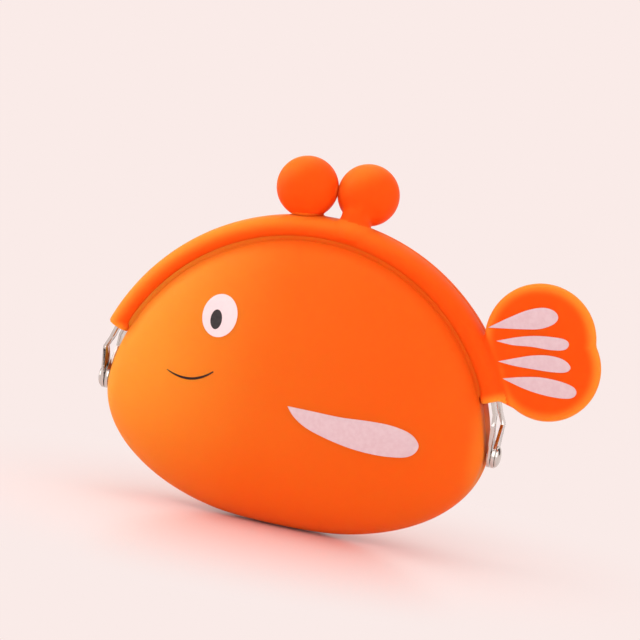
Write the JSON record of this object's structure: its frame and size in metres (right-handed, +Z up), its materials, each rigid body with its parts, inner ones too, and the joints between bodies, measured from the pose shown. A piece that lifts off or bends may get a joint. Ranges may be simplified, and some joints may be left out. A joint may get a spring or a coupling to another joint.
{
  "type": "squeeze coin purse",
  "caption": "Soft moulded fish-shaped coin purse with a hinged kiss-lock frame that snaps shut with two clasp balls.",
  "frame": {"origin": "middle of the flat base, below the middle of the hinge line", "axes": "+X along the hinge line towards the tail, -Y out of the printed front, +Z up through the clasp"},
  "size_m": [0.1298, 0.0403, 0.0957],
  "materials": {
    "silicone_orange": "satin",
    "plated_steel": "polished",
    "ink_pale_pink": "satin",
    "ink_eye_white": "satin",
    "ink_dark": "satin"
  },
  "bodies": {
    "pouch": {"pouch_bowl": "silicone_orange", "hinge_rivets": "plated_steel", "smile_line": "ink_dark", "side_fin": "ink_pale_pink"},
    "front_half": {"front_shoulder": "silicone_orange", "front_rim": "silicone_orange", "front_frame": "plated_steel", "front_clasp_bead": "plated_steel", "front_ball_cover": "silicone_orange", "eye_white": "ink_eye_white", "eye_pupil": "ink_dark", "tail_fin": "silicone_orange", "tail_stripe_1": "ink_pale_pink", "tail_stripe_2": "ink_pale_pink", "tail_stripe_3": "ink_pale_pink", "tail_stripe_4": "ink_pale_pink"},
    "back_half": {"back_shoulder": "silicone_orange", "back_rim": "silicone_orange", "back_frame": "plated_steel", "back_clasp_bead": "plated_steel", "back_ball_cover": "silicone_orange"}
  },
  "joints": [
    {"name": "front_half_opens", "type": "hinge", "parent": "pouch", "child": "front_half", "pos_m": [0, 0, 0.0285], "axis": [1, 0, 0], "range_deg": [0, 32]},
    {"name": "back_half_opens", "type": "hinge", "parent": "pouch", "child": "back_half", "pos_m": [0, 0, 0.0285], "axis": [-1, 0, 0], "range_deg": [0, 32]}
  ],
  "couplings": [
    {"joint": "back_half_opens", "follows": "front_half_opens", "ratio": 1}
  ]
}
